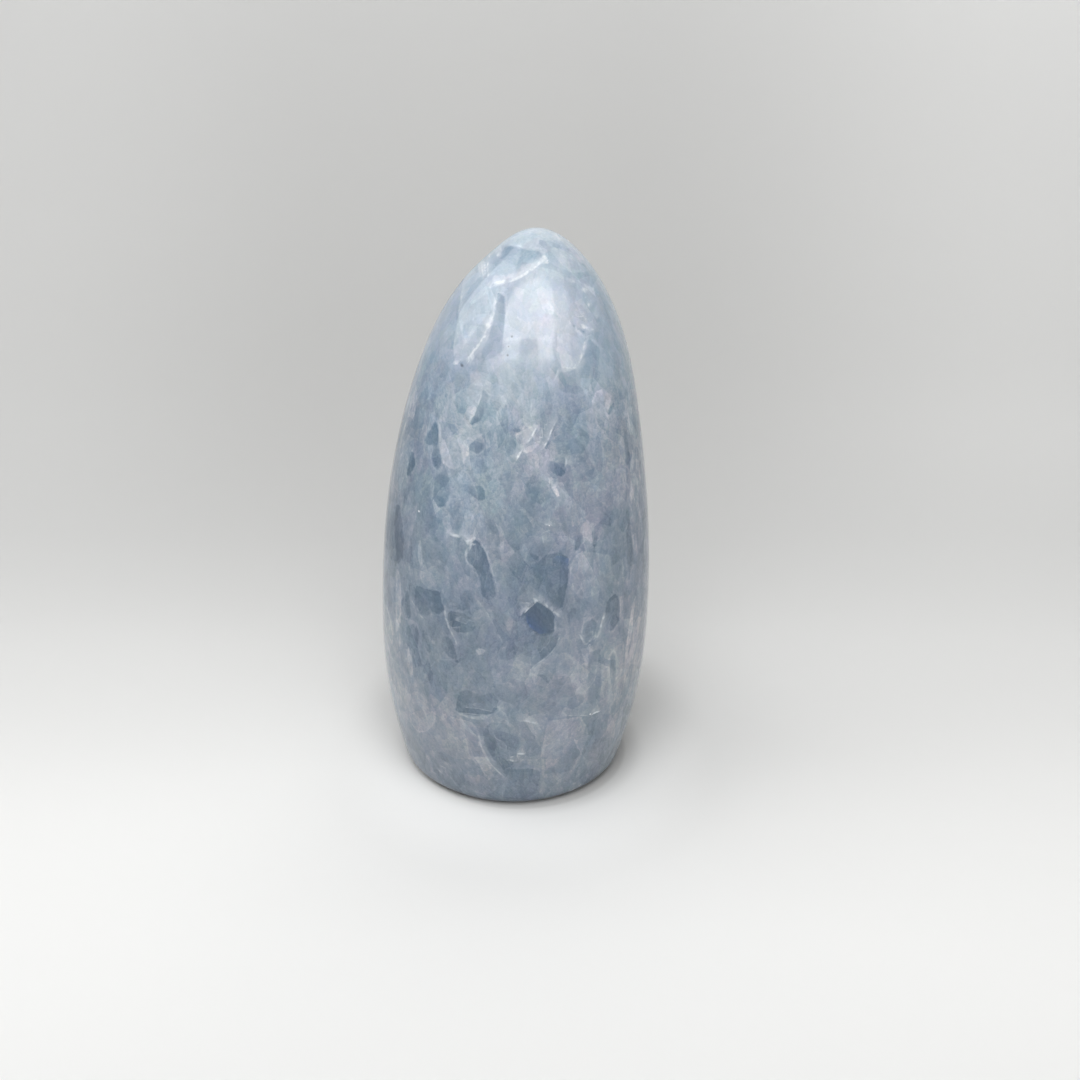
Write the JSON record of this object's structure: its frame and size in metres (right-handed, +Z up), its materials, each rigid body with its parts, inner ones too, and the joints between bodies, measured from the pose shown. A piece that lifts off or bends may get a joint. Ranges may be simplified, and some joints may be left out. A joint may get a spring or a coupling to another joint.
{
  "type": "calcite specimen",
  "caption": "Polished freeform stone of mottled blue calcite with a flat sawn base, tapering to a rounded tip that leans to one side. It stands by itself as an ornament.",
  "frame": {"origin": "on the flat base, under the middle of the stone's bounding box", "axes": "+Z up from the flat base to the tip, which is the longest way; the front that the picture shows faces -Y, and the tip leans towards +X"},
  "size_m": [0.0582, 0.052, 0.118],
  "materials": {
    "calcite": "polished"
  },
  "bodies": {
    "root": {"calcite_stone": "calcite"}
  },
  "joints": []
}
